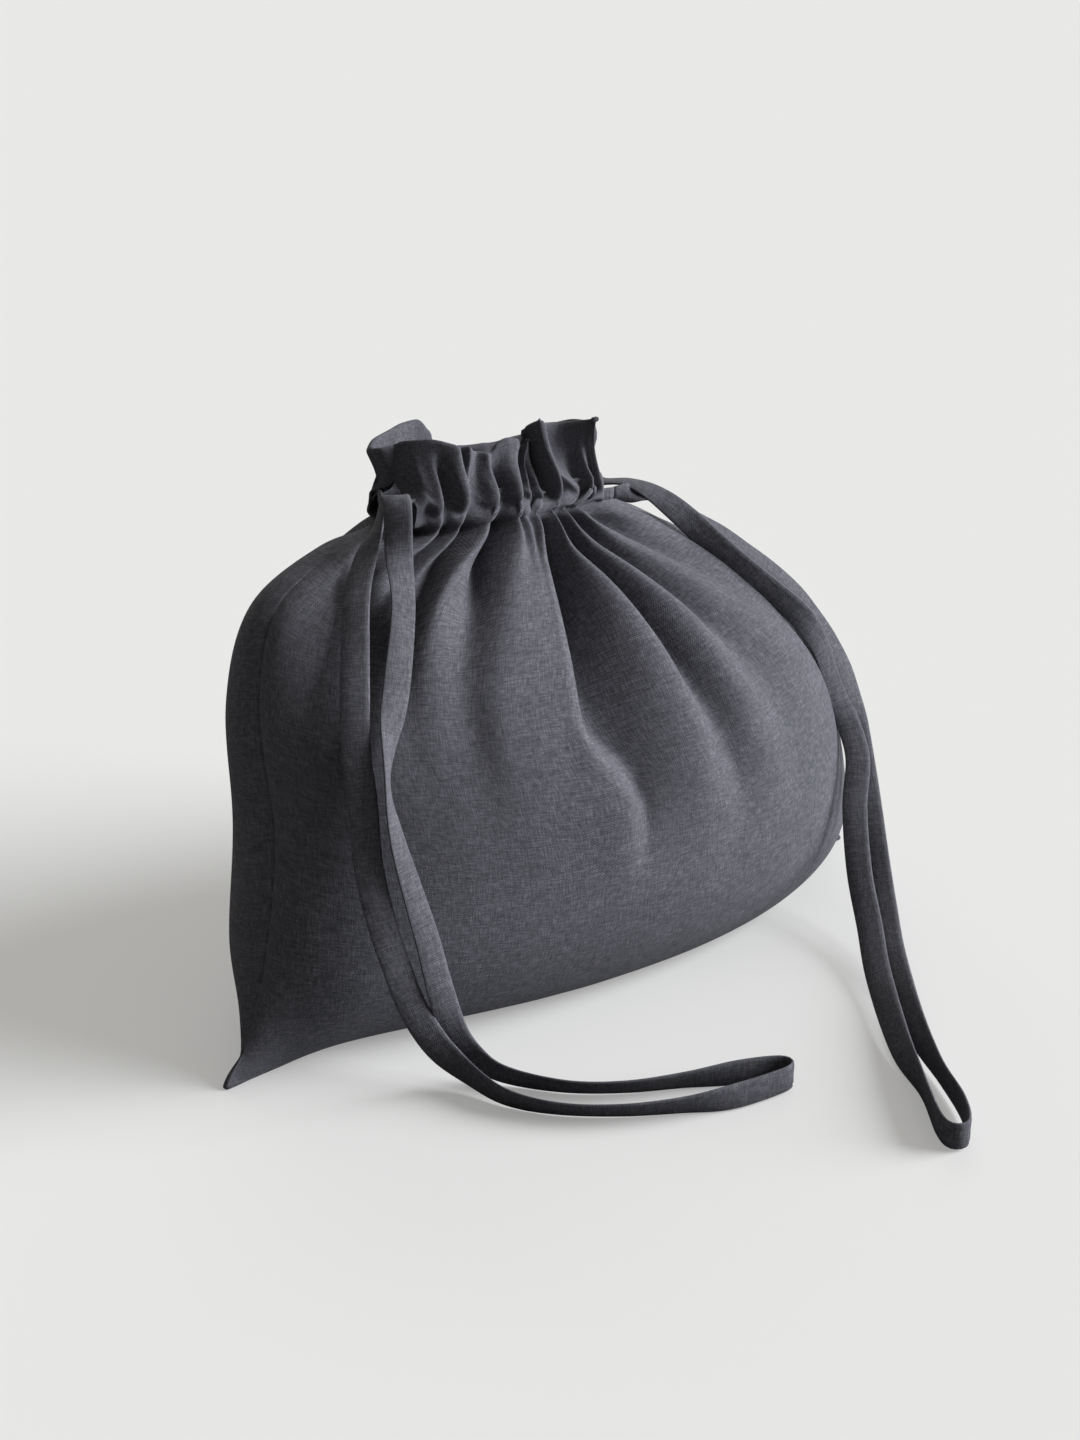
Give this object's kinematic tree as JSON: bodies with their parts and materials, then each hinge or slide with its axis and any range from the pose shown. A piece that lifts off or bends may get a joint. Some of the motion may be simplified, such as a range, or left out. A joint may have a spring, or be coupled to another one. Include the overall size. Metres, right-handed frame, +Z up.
{
  "type": "drawstring bag",
  "caption": "Filled linen drawstring bag with sewn panels, a gathered casing neck, a frilled heading and flat tape drawstrings leaving at opposite sides.",
  "frame": {"origin": "on the floor, under the middle of the bag's outer box without the free drawstring loops", "axes": "+X along the bag's width to the right as seen from the front, +Z up, front towards -Y"},
  "size_m": [0.318, 0.2908, 0.2056],
  "materials": {
    "linen": "plain-weave washed linen, matt",
    "tape": "folded and stitched linen tape, matt"
  },
  "bodies": {
    "bag": {"front_panel": "linen", "back_panel": "linen", "left_seam_allowance": "linen", "right_seam_allowance": "linen", "bottom_seam_allowance": "linen", "front_casing": "linen", "back_casing": "linen", "front_casing_facing": "linen", "back_casing_facing": "linen", "front_heading": "linen", "back_heading": "linen"},
    "left_drawstring": {"left_drawstring_run": "tape", "left_drawstring_loop": "tape"},
    "right_drawstring": {"right_drawstring_run": "tape", "right_drawstring_loop": "tape"}
  },
  "joints": [
    {"name": "left_pull", "type": "slide", "parent": "bag", "child": "left_drawstring", "axis": [-0.9976, 0, 0.0698], "range_m": [0, 0.008]},
    {"name": "right_pull", "type": "slide", "parent": "bag", "child": "right_drawstring", "axis": [0.9976, 0, -0.0698], "range_m": [0, 0.008]}
  ]
}
